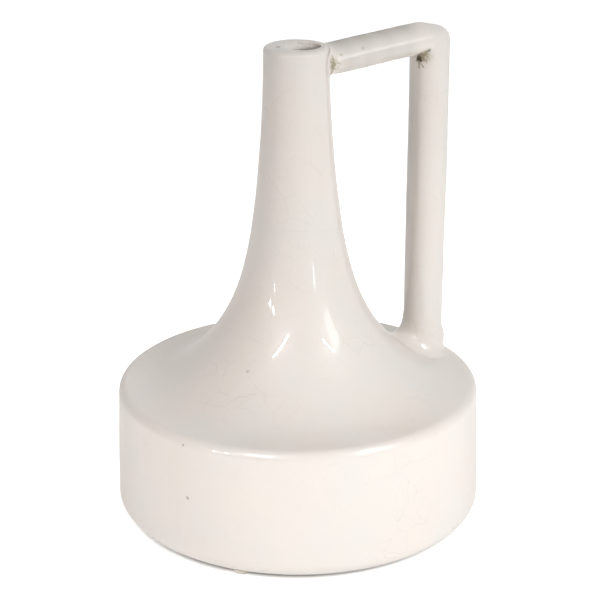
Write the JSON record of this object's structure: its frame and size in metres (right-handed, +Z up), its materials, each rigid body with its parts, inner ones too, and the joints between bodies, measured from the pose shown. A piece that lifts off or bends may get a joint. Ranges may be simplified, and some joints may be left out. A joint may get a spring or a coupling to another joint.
{
  "type": "handled bottle jug",
  "caption": "White crackle-glazed pottery bottle with a low drum body, a long trumpet neck with one round mouth, and an angular handle from the lip to the shoulder.",
  "frame": {"origin": "on the axis of the drum and neck, in the plane that the pot stands on, under its pads", "axes": "+Z up along the axis of the neck, out of the mouth; +X towards the handle's post; +Y completes a right-handed frame"},
  "size_m": [0.2442, 0.2442, 0.319],
  "materials": {
    "glaze": "glossy warm white glaze with a fine crackle over fired clay",
    "pad": "matt off-white stick-on pad"
  },
  "bodies": {
    "root": {"base_floor": "glaze", "drum_wall": "glaze", "shoulder": "glaze", "neck_flare": "glaze", "neck": "glaze", "lip_ring": "glaze", "handle_bar": "glaze", "handle_post": "glaze", "bar_collar": "glaze", "post_collar": "glaze", "base_pads": "pad"}
  },
  "joints": []
}
